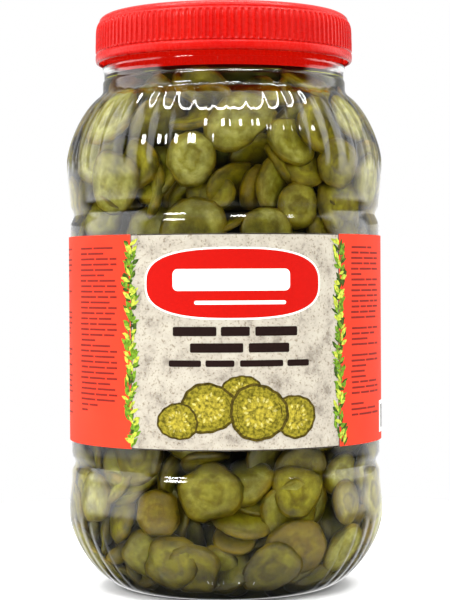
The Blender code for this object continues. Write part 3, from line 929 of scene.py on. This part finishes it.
def labelPaper():
    # red all round, with the cream field of the front panel
    material, tree, shader = newMaterial("labelPaper", (0.56, 0.028, 0.008), 0.6, Specular_IOR_Level=0.06)
    place = objectCoordinates(tree)
    parts = addNode(tree, "ShaderNodeSeparateXYZ", {"Vector": place}).outputs
    around = mathsNode(tree, "ARCTAN2", parts["X"], mathsNode(tree, "MULTIPLY", parts["Y"], -1.0))
    off = mathsNode(tree, "ABSOLUTE", mathsNode(tree, "SUBTRACT", around, math.radians(label["turn"])))
    inside = mathsNode(tree, "LESS_THAN", off, label["panelHalf"] / label["radius"])
    red = rampNode(tree, noiseNode(tree, place, 30, 3.0), [(0.3, (0.50, 0.030, 0.012)), (0.7, (0.56, 0.037, 0.015))])
    cream = rampNode(tree, noiseNode(tree, place, 120, 6.0, 0.7), [
        (0.34, (0.21, 0.185, 0.15)), (0.46, (0.33, 0.30, 0.245)), (0.62, (0.385, 0.355, 0.29))])
    speckle = rampNode(tree, noiseNode(tree, place, 900, 4.0), [(0.34, (0.50, 0.43, 0.36)), (0.45, (1, 1, 1))])
    cream = mixColour(tree, 0.8, cream, speckle, "MULTIPLY")
    tree.links.new(mixColour(tree, inside, red, cream), shader.inputs["Base Color"])
    addBump(tree, shader, noiseNode(tree, place, 160, 4.0), 0.10, 0.0004)
    return material


def makeLabel():
    heights = np.linspace(label["top"], label["bottom"], 30)
    piece = turnedShape("labelWrap", [(label["radius"] * mm, h * mm) for h in heights], label["sides"])
    applyModifier(piece, "SOLIDIFY", thickness=label["thickness"] * mm, offset=1)
    shadeSmooth(piece, 40)
    piece.data.materials.append(labelPaper())
    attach(piece, "root")
    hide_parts("label")

    ink = printMaterial("darkInk", (0.012, 0.005, 0.004))
    white = printMaterial("whiteInk", (0.74, 0.73, 0.70), spread=0.04)
    plaqueRed = printMaterial("plaqueRed", (0.37, 0.003, 0.001), spread=0.04)
    leafDark = printMaterial("leafDark", (0.030, 0.060, 0.008), spread=0.5)
    leafGreen = printMaterial("leafGreen", (0.10, 0.19, 0.012), spread=0.5)
    leafYellow = printMaterial("leafYellow", (0.33, 0.38, 0.040), spread=0.4)
    stemBrown = printMaterial("stemBrown", (0.15, 0.085, 0.03), spread=0.3)
    half = label["panelHalf"]
    top, bottom = label["top"], label["bottom"]
    middle = (top + bottom) / 2

    # thin dark edges of the cream field
    edges = [(side * (half - 0.2), middle, 0.45, top - bottom, 0) for side in (-1, 1)]
    edges += [(0, height, 2 * half, 0.4, 0) for height in (top - 0.25, bottom + 0.25)]
    printShapes("panelEdges", flatBar(60), edges, 0.03, ink)

    # a plain plaque: red, with a white edge and white bars
    (x, y), (width, height) = label["plaque"]["middle"], label["plaque"]["size"]
    edge = label["plaque"]["edge"]
    for name, grow, lift, material in (("plaqueEdge", edge, 0.06, white), ("plaqueField", 0, 0.10, plaqueRed)):
        shape = roundedBar(96, 12, label["plaque"]["roundness"])
        printShapes(name, shape, [(x, y, width + 2 * grow, height + 2 * grow, 0)], lift, material)
    finishPrint(roundedBars("plaqueBars", label["plaqueBars"], 2.4), 0.14, white)

    # headings as plain bars
    finishPrint(roundedBars("headingBars", label["bars"], 0.7), 0.05, ink)

    # sliced gherkins, drawn flat
    layers = [("Rim", 2.0, 0.02, printMaterial("drawnRim", (0.050, 0.036, 0.004), spread=0.5)),
              ("Flesh", 1.80, 0.03, printMaterial("drawnFlesh", (0.155, 0.130, 0.010), spread=0.6)),
              ("Middle", 1.15, 0.04, printMaterial("drawnMiddle", (0.225, 0.185, 0.018), spread=0.6))]
    seedTone = printMaterial("drawnSeed", (0.36, 0.32, 0.085), spread=0.4)
    for number, (x, y, radius) in enumerate(label["slices"]):
        for name, share, lift, material in layers:
            piece = flatDisc(72, 3)
            points = readPoints(piece)
            angle = np.arctan2(points[:, 1], points[:, 0])
            ripple = 1 + 0.016 * np.sin(13 * angle + number) + 0.04 * np.sin(3 * angle + 2 * number)
            ripple += 0.03 * np.sin(2 * angle + number)
            points[:, 0] = x + points[:, 0] * ripple * radius * share
            points[:, 1] = y + points[:, 1] * ripple * radius * share * 0.9
            writePoints(piece, points)
            piece.name = f"drawnSlice{number}{name}"
            finishPrint(piece, lift + number * 0.06, material)
        seeds = []
        for step in range(label["seeds"]):
            turned = 2 * math.pi * step / label["seeds"] + rng.uniform(-0.15, 0.15)
            far = radius * rng.uniform(0.38, 0.56)
            seeds.append((x + far * math.cos(turned), y + 0.9 * far * math.sin(turned),
                          radius * 0.17, radius * 0.07, math.degrees(turned)))
        printShapes(f"drawnSeeds{number}", flatLeaf(), seeds, 0.05 + number * 0.06, seedTone)

    # a sprig up each side of the panel
    darks, greens, yellows, stems = [], [], [], []
    for side in (-1, 1):
        edge = side * (half + 0.5)
        for step in range(label["sprigStems"]):
            y = bottom + 4 + step * (top - bottom - 9) / (label["sprigStems"] - 1)
            stems.append((edge + 1.0 * math.sin(step * 0.55 + side), y, 0.7, 3.2, rng.uniform(-14, 14)))
        for step in range(label["sprigLeaves"]):
            y = bottom + 2.5 + step * (top - bottom - 6) / (label["sprigLeaves"] - 1)
            lean = rng.choice([-1, 1])
            reach = rng.uniform(0.4, 3.0)
            x = edge + 1.0 * math.sin((y - bottom) * 0.24 + side) + lean * reach
            leaf = (x, y + rng.uniform(-0.6, 0.6), rng.uniform(3.4, 6.2), rng.uniform(1.1, 2.1),
                    90 - lean * rng.uniform(10, 75))
            shade = rng.random()
            (darks if shade < 0.34 else greens if shade < 0.74 else yellows).append(leaf)
    printShapes("sprigStems", flatBar(1), stems, 0.05, stemBrown)
    printShapes("sprigLeavesDark", flatLeaf(), darks, 0.08, leafDark)
    printShapes("sprigLeavesGreen", flatLeaf(), greens, 0.11, leafGreen)
    printShapes("sprigLeavesYellow", flatLeaf(), yellows, 0.14, leafYellow)

    # rows of plain thin bars on the red sides
    rows = label["rows"]
    thin = []
    for left, right in rows["columns"]:
        y = top - 6
        while y > bottom + 12:
            if rng.random() < 0.86:
                x = left + rng.uniform(0, 1)
                while x < right - 4:
                    length = min(rng.uniform(5, 15), right - x)
                    thin.append((x + length / 2, y, length, rows["height"], 0))
                    x += length + 1.1
                    if rng.random() < 0.10:
                        break
            y -= rows["pitch"]
    printShapes("sideRows", flatBar(4), thin, 0.03, printMaterial("rowInk", (0.16, 0.012, 0.008)))

    # a white box with plain stripes, round on the right
    box = label["box"]
    x, y = box["middle"]
    printShapes("whiteBox", flatBar(10), [(x, y, *box["size"], 0)], 0.03, white)
    stripes = [(x - 6.5 + step * box["pitch"], y, *box["stripe"], 0) for step in range(box["stripes"])]
    printShapes("boxStripes", flatBar(1), stripes, 0.06, ink)

    # a pale table with thin lines at the back
    table = label["table"]
    wide, high = table["right"] - table["left"], table["top"] - table["bottom"]
    x, y = table["left"] + wide / 2, table["bottom"] + high / 2
    tableCream = printMaterial("tableCream", (0.44, 0.40, 0.33))
    printShapes("tableField", flatBar(40), [(x, y, wide, high, 0)], 0.03, tableCream)
    pitch = (high - 6) / (table["lines"] - 1)
    ruled = [(x, table["bottom"] + 3 + step * pitch, wide - 5, 0.35, 0) for step in range(table["lines"])]
    printShapes("tableLines", flatBar(40), ruled, 0.06, ink)

    # the lap where the wrap ends meet, at the back
    lap = [(-label["radius"] * math.pi * 0.97, middle, label["lap"], top - bottom, 0)]
    lapRed = printMaterial("lapRed", (0.50, 0.018, 0.005), spread=0.03)
    printShapes("labelLap", flatBar(6), lap, 0.16, lapRed)
    print("label with its print")


makeStudio()
makeJar()
makeBrine()
makeCore()
makeSlices()
makeLid()
makeLabel()
